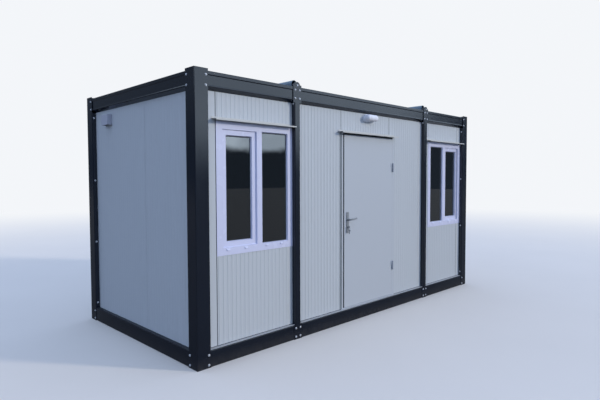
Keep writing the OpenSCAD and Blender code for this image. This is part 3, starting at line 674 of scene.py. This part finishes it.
def bolt_tree():
    grower = Grower("bolt_heads", {
        "Washer radius": 0.0105, "Washer height": 0.0018,
        "Head radius": 0.0078, "Head height": 0.0048, "Chamfer": 0.0013, "Head sides": 6,
    })

    def disc(sides, radius, top, depth, rise):
        cone = grower.node("GeometryNodeMeshCone", {"fill_type": "NGON"}, {
            "Vertices": sides, "Radius Bottom": radius, "Radius Top": top, "Depth": depth,
        })
        lift = grower.node("ShaderNodeCombineXYZ", {}, {"Z": rise})
        return grower.node("GeometryNodeTransform", {}, {"Geometry": cone, "Translation": lift})

    washer_h = grower.size("Washer height")
    head_r = grower.size("Head radius")
    head_h = grower.size("Head height")
    chamfer = grower.size("Chamfer")
    washer_r = grower.size("Washer radius")
    washer = disc(WASHER_SIDES, washer_r, washer_r, washer_h, 0.0)
    sides = grower.size("Head sides")
    head = disc(sides, head_r, head_r, head_h, washer_h)
    crown = disc(sides, head_r, head_r - chamfer, chamfer * 0.5, washer_h + head_h)
    bolt = grower.tree.nodes.new("GeometryNodeJoinGeometry")
    for piece in (washer, head, crown):
        grower.tree.links.new(piece.socket, bolt.inputs[0])
    aim = grower.node("GeometryNodeInputNamedAttribute", {"data_type": "FLOAT_VECTOR"},
                      {"Name": "aim"})
    turn = grower.node("FunctionNodeAlignRotationToVector", {"axis": "Z"}, {"Vector": aim})
    placed = grower.node("GeometryNodeInstanceOnPoints", {}, {
        "Points": grower.size("Geometry"), "Instance": Wire(grower, bolt.outputs[0]),
        "Rotation": turn,
    })
    return grower.end(placed)


BOLTS = bolt_tree()
print("bolt tree inputs:", list(BOLTS.ids))

# %% [markdown]
# The bolt places follow the frame: a distance in from a post's inner edge, and
# a few levels near its head and foot, which were read off the photograph. One
# face of the cabin is listed and its bolts are mirrored to the others, because
# the frame is the same on all sides.

# %% Bolts on the frame
post_lo, post_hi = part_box("corner_post_front_left")
mid_lo, mid_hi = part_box("mid_posts_front")
HALF_L = -post_lo.x
HALF_W = -post_lo.y
POST_H = post_hi.z
POST_LEG = post_hi.x - post_lo.x
RETURN_DEPTH = mid_hi.y - mid_lo.y
MID_POST_W = 0.070
MID_PLATE_W = 0.110
MID_AXES = (mid_lo.x + MID_PLATE_W / 2, mid_hi.x - MID_PLATE_W / 2)
FLANGE_BOLT_IN = 0.022
PLATE_BOLT_OUT = 0.030
FLANGE_LEVELS = (0.026, 0.110, POST_H - 0.138, POST_H - 0.052)
PLATE_LEVELS = (0.029, 0.113, POST_H - 0.130, POST_H - 0.049)
RETURN_LEVELS = (0.203, 0.892, 1.578, 2.270)
MID_RETURN_LEVEL = 2.318
HEAD_LEVEL = POST_H - 0.004

OUT_FRONT = Vector((0, -1, 0))
OUT_LEFT = Vector((-1, 0, 0))
bolt_points = []
bolt_aims = []


def add_mirrored(point, aim, flips):
    """A bolt and its mirror images: each flip holds the signs for X and Y."""
    for flip_x, flip_y in flips:
        bolt_points.append(Vector((point[0] * flip_x, point[1] * flip_y, point[2])))
        bolt_aims.append(Vector((aim[0] * flip_x, aim[1] * flip_y, aim[2])))


ALL_FOUR = ((1, 1), (-1, 1), (1, -1), (-1, -1))
FRONT_AND_BACK = ((1, 1), (1, -1))
flange = POST_LEG - FLANGE_BOLT_IN
for level in FLANGE_LEVELS:
    add_mirrored((-HALF_L + flange, -HALF_W, level), OUT_FRONT, ALL_FOUR)
    add_mirrored((-HALF_L, -HALF_W + flange, level), OUT_LEFT, ALL_FOUR)
for axis in MID_AXES:
    add_mirrored((axis, -HALF_W, HEAD_LEVEL), OUT_FRONT, FRONT_AND_BACK)
    for side in (-PLATE_BOLT_OUT, PLATE_BOLT_OUT):
        for level in PLATE_LEVELS:
            add_mirrored((axis + side, -HALF_W, level), OUT_FRONT, FRONT_AND_BACK)
    for side in (-1, 1):
        add_mirrored((axis + side * MID_POST_W / 2, -HALF_W + RETURN_DEPTH / 2, MID_RETURN_LEVEL),
                     (side, 0, 0), FRONT_AND_BACK)
for level in RETURN_LEVELS:
    add_mirrored((-HALF_L + POST_LEG, -HALF_W + RETURN_DEPTH / 2, level), (1, 0, 0), ALL_FOUR)
    add_mirrored((-HALF_L + RETURN_DEPTH / 2, -HALF_W + POST_LEG, level), (0, 1, 0), ALL_FOUR)
frame_bolts = grown(BOLTS, BOLT_BRIGHT, bolt_points, bolt_aims)
add_piece("frame_bolts", frame_bolts, "cabin")
print("bolts:", len(bolt_points))

# %% [markdown]
# ## Ribs of the wall skins
# The steel skins are rolled with shallow flat ribs, 24 to a panel and little over
# half a millimetre deep. They make the fine upright lines of the walls. A bump
# would do from afar, but real ribs also hold at the edges and in low light. One
# rib is a trapezoid swept along a line: the tree draws it, sweeps it, and sets a
# row of them side by side.

# %% One row of ribs
RIB_PITCH = 0.0479
RIB_DEPTH = 0.0006
RIB_SUNK = 0.0002
RIB_EDGE = 0.007
UP = Vector((0, 0, 1))


def rib_tree():
    grower = Grower("panel_ribs", {
        "Count": 8, "Pitch": RIB_PITCH, "Edge": RIB_EDGE, "Depth": RIB_DEPTH, "Height": 1.0,
    })
    pitch = grower.size("Pitch")
    width = pitch * 0.5
    edge = grower.size("Edge")
    outline = grower.node("GeometryNodeCurvePrimitiveQuadrilateral", {"mode": "TRAPEZOID"}, {
        "Height": grower.size("Depth"), "Bottom Width": width, "Top Width": width - edge * 2,
        "Offset": 0.0,
    })
    top = grower.node("ShaderNodeCombineXYZ", {}, {"Z": grower.size("Height")})
    line = grower.node("GeometryNodeCurvePrimitiveLine", {}, {"Start": (0, 0, 0), "End": top})
    rib = grower.node("GeometryNodeCurveToMesh", {}, {
        "Curve": line, "Profile Curve": outline, "Fill Caps": True,
    })
    step = grower.node("ShaderNodeCombineXYZ", {}, {"X": pitch})
    row = grower.node("GeometryNodeMeshLine", {}, {"Count": grower.size("Count"), "Offset": step})
    placed = grower.node("GeometryNodeInstanceOnPoints", {}, {"Points": row, "Instance": rib})
    return grower.end(placed)


RIBS = rib_tree()
print("rib tree inputs:", list(RIBS.ids))

# %% [markdown]
# A row of ribs is grown for each clear stretch of wall: from a low corner to a
# high corner, on the side that the wall faces. The number of ribs follows from
# the width, so that each stretch begins and ends with half a gap. The rows of
# one wall are then one mesh.

# %% Rows on a stretch of wall
def rib_row(low, high, outward):
    """The ribs of one upright rectangle, as a mesh in the cabin's frame."""
    low = Vector(low)
    span = Vector(high) - low
    along = outward.cross(UP)
    width = abs(span.dot(along))
    start = low if span.dot(along) > 0 else low + Vector((span.x, span.y, 0))
    count = max(1, round(width / RIB_PITCH))
    pitch = width / count
    row = grown(RIBS, WALL_PANEL, Count=count, Pitch=pitch, Height=span.z)
    place = Matrix((along, outward, UP)).transposed().to_4x4()
    place.translation = start + along * pitch / 2 + outward * (RIB_DEPTH / 2 - RIB_SUNK)
    row.transform(place)
    return row


def joined(meshes, finish):
    """One mesh from several, with one finish."""
    builder = bmesh.new()
    for mesh in meshes:
        builder.from_mesh(mesh)
    whole = bpy.data.meshes.new("joined")
    builder.to_mesh(whole)
    builder.free()
    whole.materials.append(finish)
    return whole


def add_ribs(name, stretches, outward):
    rows = [rib_row(low, high, outward) for low, high in stretches]
    add_piece(name, joined(rows, WALL_PANEL), "cabin")


print("rows join to one mesh per wall")

# %% [markdown]
# The stretches end at posts, windows, the door frame and the caps over them.
# The narrow panel beside each window is flat. Seams between panels end a
# stretch too, so that each panel has its own rhythm as the real ones do. The
# back and the right end don't show, so they repeat the rhythm of the others.

# %% Ribs on every wall
wall_lo, wall_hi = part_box("wall_front_left")
win_lo, win_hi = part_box("window_frame_left")
door_lo, door_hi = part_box("door_frame")
strip_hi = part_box("sill_strips")[1]
cap_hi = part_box("drip_caps")[1]
WALL_Y = wall_lo.y
WALL_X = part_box("wall_left_end")[0].x
FOOT = strip_hi.z
HEAD = wall_hi.z
POST_IN = HALF_L - POST_LEG
SIDE_IN = HALF_W - POST_LEG
BAY_L = MID_AXES[0] - MID_POST_W / 2
BAY_R = MID_AXES[0] + MID_POST_W / 2
OVER_DOOR_SEAM = 0.410
END_SEAM = -0.169

add_ribs("ribs_front", [
    ((win_lo.x, WALL_Y, FOOT), (BAY_L, WALL_Y, win_lo.z)),
    ((win_lo.x, WALL_Y, cap_hi.z), (BAY_L, WALL_Y, HEAD)),
    ((BAY_R, WALL_Y, FOOT), (door_lo.x, WALL_Y, HEAD)),
    ((door_lo.x, WALL_Y, cap_hi.z), (OVER_DOOR_SEAM, WALL_Y, HEAD)),
    ((OVER_DOOR_SEAM, WALL_Y, cap_hi.z), (door_hi.x, WALL_Y, HEAD)),
    ((door_hi.x, WALL_Y, FOOT), (-BAY_R, WALL_Y, HEAD)),
    ((-BAY_L, WALL_Y, FOOT), (-win_lo.x, WALL_Y, win_lo.z)),
    ((-BAY_L, WALL_Y, cap_hi.z), (-win_lo.x, WALL_Y, HEAD)),
], OUT_FRONT)
add_ribs("ribs_back", [
    ((-POST_IN, -WALL_Y, FOOT), (BAY_L, -WALL_Y, HEAD)),
    ((BAY_R, -WALL_Y, FOOT), (0, -WALL_Y, HEAD)),
    ((0, -WALL_Y, FOOT), (-BAY_R, -WALL_Y, HEAD)),
    ((-BAY_L, -WALL_Y, FOOT), (POST_IN, -WALL_Y, HEAD)),
], -OUT_FRONT)
for name, side in (("ribs_left_end", -1), ("ribs_right_end", 1)):
    wall_x = -WALL_X * side
    add_ribs(name, [
        ((wall_x, -SIDE_IN, FOOT), (wall_x, END_SEAM, HEAD)),
        ((wall_x, END_SEAM, FOOT), (wall_x, SIDE_IN, HEAD)),
    ], Vector((side, 0, 0)))

# %% [markdown]
# ## Rubber seals
# A dark line round each pane tells the eye that glass sits in plastic. It is a
# rubber gasket, pressed in between: a small rounded section swept round a
# rectangle, with mitred corners.

# %% A section swept round a rectangle
GASKET_SECTION = (
    (0.0, -0.001), (0.0, 0.0020), (0.0012, 0.0030),
    (0.0035, 0.0030), (0.0050, 0.0015), (0.0050, -0.001),
)


def ring_mesh(low, high, section):
    """A ring in front of the plane y = low.y. The section's pairs are inset and height."""
    corners = ((low.x, low.z, 1, 1), (high.x, low.z, -1, 1),
               (high.x, high.z, -1, -1), (low.x, high.z, 1, -1))
    builder = bmesh.new()
    loops = []
    for x, z, to_x, to_z in corners:
        loops.append([
            builder.verts.new((x + to_x * inset, low.y - height, z + to_z * inset))
            for inset, height in section
        ])
    for i in range(4):
        first = loops[i]
        second = loops[(i + 1) % 4]
        for j in range(len(section)):
            k = (j + 1) % len(section)
            builder.faces.new((first[j], first[k], second[k], second[j]))
    bmesh.ops.recalc_face_normals(builder, faces=builder.faces)
    mesh = bpy.data.meshes.new("ring")
    builder.to_mesh(mesh)
    builder.free()
    return mesh


print("gasket section with", len(GASKET_SECTION), "points")

# %% [markdown]
# The four panes are one solid, so their places are read from its corners: the
# sides, sorted along X, come in pairs. Each pane is held in its rebate by a
# little less than a centimetre, and the gasket sits where it comes out.

# %% Gaskets round the panes
GLASS_HOLD = 0.0097
NEAR = 0.001


def pane_openings():
    """The clear opening of each pane, from the box of each glazing unit."""
    points = [v.co for v in frame["nodes"]["window_glass"].data.vertices]
    sides = sorted({round(p.x, 4) for p in points})
    openings = []
    for left, right in zip(sides[0::2], sides[1::2]):
        own = [p for p in points if left - NEAR < p.x < right + NEAR]
        front = min(p.y for p in own)
        foot = min(p.z for p in own) + GLASS_HOLD
        head = max(p.z for p in own) - GLASS_HOLD
        openings.append((Vector((left + GLASS_HOLD, front, foot)),
                         Vector((right - GLASS_HOLD, front, head))))
    return openings


openings = pane_openings()
rings = [ring_mesh(low, high, GASKET_SECTION) for low, high in openings]
add_piece("window_gaskets", joined(rings, RUBBER), "cabin")
print("panes:", len(openings))

# %% [markdown]
# The door closes on a rubber seal. On the photograph it shows as a black line
# down the lock side and along the top. One strip is fixed to the closing edge
# of the leaf and turns with it. The others are fixed to the frame, beside the
# closing edge and under the cap. The one under the cap is a seal and also paints
# the shade in the gap below the cap. Each is a bar with rounded edges, sunk a
# little into what holds it, so that no gap shows.

# %% Door seals
STRIP_T = 0.0012
STRIP_DEPTH = 0.020
STRIP_PROUD = 0.0015
STRIP_BACK = 0.0006
STRIP_ENDS_IN = 0.004
STRIP_SUNK = 0.0002
LEAF_BEVEL = 0.0003
FRAME_STRIP_W = 0.009
FRAME_STRIP_SUNK = 0.001
FRAME_BEVEL = 0.0006
LOCK_STRIP_DEEP = 0.012
LOCK_STRIP_LAP = 0.0004
DOOR_LOCK_GAP = 0.007
DOOR_HEAD_GAP = 0.005
CAP_COVERS = 0.030


def bar_mesh(low, high, bevel):
    """A bar between two corners, with rounded edges."""
    builder = bmesh.new()
    bmesh.ops.create_cube(builder, size=1.0)
    size = Vector(high) - Vector(low)
    middle = (Vector(high) + Vector(low)) / 2
    for vertex in builder.verts:
        vertex.co = Vector(a * b for a, b in zip(vertex.co, size)) + middle
    bmesh.ops.bevel(builder, geom=builder.edges[:], offset=bevel, segments=2, affect="EDGES")
    bmesh.ops.recalc_face_normals(builder, faces=builder.faces)
    mesh = bpy.data.meshes.new("bar")
    builder.to_mesh(mesh)
    builder.free()
    return mesh


leaf_lo, leaf_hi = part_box("door_leaf")
edge_strip = bar_mesh(
    (leaf_lo.x - STRIP_T, leaf_lo.y + STRIP_BACK, leaf_lo.z + STRIP_ENDS_IN),
    (leaf_lo.x + STRIP_SUNK, leaf_lo.y + STRIP_DEPTH, leaf_hi.z - STRIP_ENDS_IN), LEAF_BEVEL,
)
add_piece("leaf_edge_seal", joined([edge_strip], RUBBER), "door")
cap_foot = cap_hi.z - CAP_COVERS
# Under the cap: a seal that also paints the shade of the gap below the cap.
head_seal_and_shade = bar_mesh(
    (leaf_lo.x, door_lo.y - STRIP_PROUD, leaf_hi.z + DOOR_HEAD_GAP),
    (leaf_hi.x, door_lo.y + FRAME_STRIP_SUNK, cap_foot), FRAME_BEVEL,
)
lock_gap = leaf_lo.x - DOOR_LOCK_GAP
lock_strip = bar_mesh(
    (lock_gap - FRAME_STRIP_W, door_lo.y - STRIP_PROUD, leaf_lo.z),
    (lock_gap + LOCK_STRIP_LAP, door_lo.y + LOCK_STRIP_DEEP, cap_foot), FRAME_BEVEL,
)
add_piece("frame_seals_and_head_shade", joined([head_seal_and_shade, lock_strip], RUBBER), "cabin")

# %% [markdown]
# ## Joints between the wall panels
# Where the front is made of narrow pieces, the joints are closed with a flexible
# sealant. It shows as a thin dark line beside each window and over the door, and
# along the foot of the long walls, just above the ledge strip. A line of its own
# is truer than a painted one, since it stands a hair proud and closes the seam.

# %% Sealant lines
JOINT_W = 0.0060
JOINT_PROUD = 0.0005
JOINT_SUNK = 0.001
JOINT_BEVEL = 0.0002
FOOT_LINE_H = 0.006


def joint_line(low, high, outward):
    """A thin line of sealant on a wall face, between two points on that face."""
    low = Vector(low)
    high = Vector(high)
    out = outward * JOINT_PROUD
    deep = outward * -JOINT_SUNK
    corners = [low + out, low + deep, high + out, high + deep]
    first = Vector(min(c[i] for c in corners) for i in range(3))
    second = Vector(max(c[i] for c in corners) for i in range(3))
    return bar_mesh(first, second, JOINT_BEVEL)


def upright_joint(middle, low_z, high_z, outward):
    """A joint line up a wall, centred on a point of its face."""
    across = outward.cross(UP) * (JOINT_W / 2)
    middle = Vector(middle)
    return joint_line(middle - across + UP * low_z, middle + across + UP * high_z, outward)


upright = [
    upright_joint((win_lo.x - JOINT_W / 2, WALL_Y, 0), FOOT, HEAD, OUT_FRONT),
    upright_joint((-win_lo.x + JOINT_W / 2, WALL_Y, 0), FOOT, HEAD, OUT_FRONT),
    upright_joint((door_lo.x - JOINT_W / 2, WALL_Y, 0), cap_hi.z, HEAD, OUT_FRONT),
    upright_joint((OVER_DOOR_SEAM, WALL_Y, 0), cap_hi.z, HEAD, OUT_FRONT),
]
foot_spans = [(-POST_IN, BAY_L), (BAY_R, door_lo.x), (door_hi.x, -BAY_R), (-BAY_L, POST_IN)]
back_spans = [(-POST_IN, BAY_L), (BAY_R, -BAY_R), (-BAY_L, POST_IN)]
line_top = FOOT + FOOT_LINE_H
feet = [joint_line((a, WALL_Y, FOOT), (b, WALL_Y, line_top), OUT_FRONT)
        for a, b in foot_spans]
feet += [joint_line((a, -WALL_Y, FOOT), (b, -WALL_Y, line_top), -OUT_FRONT)
         for a, b in back_spans]
add_piece("panel_joints", joined(upright + feet, SEALANT), "cabin")

# %% [markdown]
# Beside the lock side of the door frame, the frame casts a soft shadow on the wall.
# On the photograph it shows as a soft grey band from the cap down to the ledge. A
# flat grey strip paints that shadow and laps the wall and the frame: one bar lies
# on the wall's face, the other on the frame's, which stands a few millimetres
# further out.

# %% Painted shadow beside the door frame
SHADOW_ON_WALL = 0.024
SHADOW_ON_FRAME = 0.011

on_wall = joint_line((door_lo.x - SHADOW_ON_WALL, WALL_Y, line_top),
                     (door_lo.x, WALL_Y, cap_foot), OUT_FRONT)
on_frame = bar_mesh(
    (door_lo.x - JOINT_PROUD, door_lo.y - JOINT_PROUD, line_top),
    (door_lo.x + SHADOW_ON_FRAME, WALL_Y, cap_foot), JOINT_BEVEL,
)
add_piece("door_frame_painted_shadow", joined([on_wall, on_frame], FRAME_SHADOW_PAINT), "cabin")

# %% [markdown]
# ## Screws and rivets
# Thin sheet and small plates are held by screws that the solids leave out. The
# bolt tree makes them too: a round head with many sides and a low crown. Each
# row is worked out from the box of what it fastens. The handle plates have a
# screw at their head and one at their foot, on both faces of the leaf.

# %% Screws on the handle plates
SCREW = {"Washer_radius": 0.0042, "Washer_height": 0.0004, "Head_radius": 0.0036,
         "Head_height": 0.0006, "Chamfer": 0.0016, "Head_sides": 16}
SCREW_INSET = 0.014


def add_screws(name, sizes, points, aim, body, finish):
    mesh = grown(BOLTS, finish, points, [aim] * len(points), **sizes)
    add_piece(name, mesh, body)


plate_lo, plate_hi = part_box("handle_plates")
plate_x = (plate_lo.x + plate_hi.x) / 2
plate_levels = (plate_lo.z + SCREW_INSET, plate_hi.z - SCREW_INSET)
add_screws("plate_screws_outside", SCREW, [(plate_x, plate_lo.y, z) for z in plate_levels],
           OUT_FRONT, "door", HANDLE_SILVER)
add_screws("plate_screws_inside", SCREW, [(plate_x, plate_hi.y, z) for z in plate_levels],
           -OUT_FRONT, "door", HANDLE_SILVER)

# %% [markdown]
# Each hinge plate has three screws in a row. They are painted over with the door
# and hardly show, but up close a plate without screws would look wrong. Their
# heights are shares of each plate, read from the corners of the solid.

# %% Screws on the hinge plates
HINGE_SCREW_SHARES = (0.2, 0.5, 0.8)
HINGE_SCREW_IN = 0.012
HINGE_PLATE_T = 0.003


def hinge_levels(node):
    """Heights of the screws on one set of hinge halves: three to a plate."""
    low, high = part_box(node)
    middle = (low.z + high.z) / 2
    levels = [v.co.z for v in frame["nodes"][node].data.vertices]
    lower = [z for z in levels if z < middle]
    upper = [z for z in levels if z > middle]
    plates = [(min(half), max(half)) for half in (lower, upper)]
    return [foot + share * (head - foot) for foot, head in plates for share in HINGE_SCREW_SHARES]


def hinge_screws(name, node, body, from_edge):
    """Screws on the plates of one set of halves, set in from the free edge."""
    low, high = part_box(node)
    screw_x = (low.x if from_edge > 0 else high.x) + from_edge
    points = [(screw_x, high.y - HINGE_PLATE_T, z) for z in hinge_levels(node)]
    add_screws(name, SCREW, points, OUT_FRONT, body, DOOR_PAINT)


hinge_screws("hinge_screws_leaf", "hinge_leaf_halves", "door", HINGE_SCREW_IN)
hinge_screws("hinge_screws_frame", "hinge_frame_halves", "cabin", -HINGE_SCREW_IN)

# %% [markdown]
# The drip caps are thin folded sheet, riveted to the wall through their upright
# leg. The rivets have the colour of the caps, so they show only as small domes
# in a row. The pitch is evened out over each cap.

# %% Rivets along the legs of the drip caps
RIVET_PITCH = 0.145
RIVET_BELOW_TOP = 0.007
CAP_T = 0.002


def cap_rivets():
    """Points on the leg of each cap: its wall face less the sheet."""
    level = cap_hi.z - RIVET_BELOW_TOP
    runs = ((win_lo.x, win_hi.x, WALL_Y), (door_lo.x, door_hi.x, door_lo.y),
            (-win_hi.x, -win_lo.x, WALL_Y))
    points = []
    for start, end, face_y in runs:
        count = round((end - start) / RIVET_PITCH)
        pitch = (end - start) / count
        points += [(start + (i + 0.5) * pitch, face_y - CAP_T, level) for i in range(count)]
    return points


add_screws("cap_rivets", SCREW, cap_rivets(), OUT_FRONT, "cabin", CAP_SHEET)

# %% [markdown]
# Roof sheets are screwed through their crests, where no water stands. The roof
# can't be seen on the photograph, so the rows are guessed: five across the depth,
# on every rib. The heads are larger than the others and have a sealing washer.

# %% Screws on the crests of the roof ribs
ROOF_SCREW = {"Washer_radius": 0.0095, "Washer_height": 0.0020, "Head_radius": 0.0055,
              "Head_height": 0.0045, "Chamfer": 0.0010}
ROOF_ROWS = 5
ROOF_SHARE = 0.9


def roof_crests(top):
    """The middle of every rib: the places across the roof where it is highest."""
    points = [v.co for v in frame["nodes"]["roof_panels"].data.vertices]
    crest_x = sorted({round(p.x, 4) for p in points if p.z > top - NEAR})
    return [(left + right) / 2 for left, right in zip(crest_x[0::2], crest_x[1::2])]


roof_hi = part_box("roof_panels")[1]
crests = roof_crests(roof_hi.z)
roof_rows = [roof_hi.y * (2 * i / (ROOF_ROWS - 1) - 1) * ROOF_SHARE for i in range(ROOF_ROWS)]
add_screws("roof_screws", ROOF_SCREW, [(x, y, roof_hi.z) for x in crests for y in roof_rows],
           UP, "cabin", BOLT_BRIGHT)
print("crests:", len(crests), "rows:", len(roof_rows))

# %% [markdown]
# ## Prisms on the lamp
# The milky cover of the lamp is ribbed across, to spread its light. On the
# photograph the ribs break its shine into light and dark marks. One rib is a
# fine hoop that follows the cover's rounded section. The tree bends a rectangle
# to that section, gives it a small round profile and repeats it along the
# straight part. The back of each hoop is hidden in the lamp's base.

# %% Hoops over the cover
HOOP_COUNT = 15
HOOP_T = 0.0026
HOOP_SUNK = 0.0006
HOOP_HIDDEN = 0.012
COVER_ROUND = 0.0288


def hoop_tree():
    grower = Grower("lamp_hoops", {
        "Count": HOOP_COUNT, "Pitch": 0.008, "Width": 0.072, "Reach": 0.072,
        "Corner": COVER_ROUND, "Thickness": HOOP_T,
    })
    box = grower.node("GeometryNodeCurvePrimitiveQuadrilateral", {}, {
        "Width": grower.size("Width"), "Height": grower.size("Reach"),
    })
    bent = grower.node("GeometryNodeFilletCurve", {"mode": "POLY"}, {
        "Curve": box, "Count": 10, "Radius": grower.size("Corner"),
    })
    section = grower.node("GeometryNodeCurvePrimitiveCircle", {}, {
        "Resolution": 8, "Radius": grower.size("Thickness") * 0.5,
    })
    hoop = grower.node("GeometryNodeCurveToMesh", {}, {"Curve": bent, "Profile Curve": section})
    step = grower.node("ShaderNodeCombineXYZ", {}, {"Z": grower.size("Pitch")})
    row = grower.node("GeometryNodeMeshLine", {}, {"Count": grower.size("Count"), "Offset": step})
    placed = grower.node("GeometryNodeInstanceOnPoints", {}, {"Points": row, "Instance": hoop})
    return grower.end(placed)


def lamp_hoops():
    """Hoops along the straight part of the cover, its width less the round ends."""
    low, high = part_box("lamp_cover")
    half = HOOP_T / 2 - HOOP_SUNK
    width = high.z - low.z - 2 * half
    front = low.y + half
    reach = high.y + HOOP_HIDDEN - front
    straight = (high.x - low.x) - (high.z - low.z)
    pitch = straight / (HOOP_COUNT - 1)
    mesh = grown(hoop_tree(), LAMP_DIFFUSER, Pitch=pitch, Width=width, Reach=reach)
    place = Matrix((UP, (0, 1, 0), (-1, 0, 0))).transposed().to_4x4()
    place.translation = (
        straight / 2 + (low.x + high.x) / 2, front + reach / 2, (low.z + high.z) / 2,
    )
    mesh.transform(place)
    return mesh


add_piece("lamp_prisms", lamp_hoops(), "cabin")
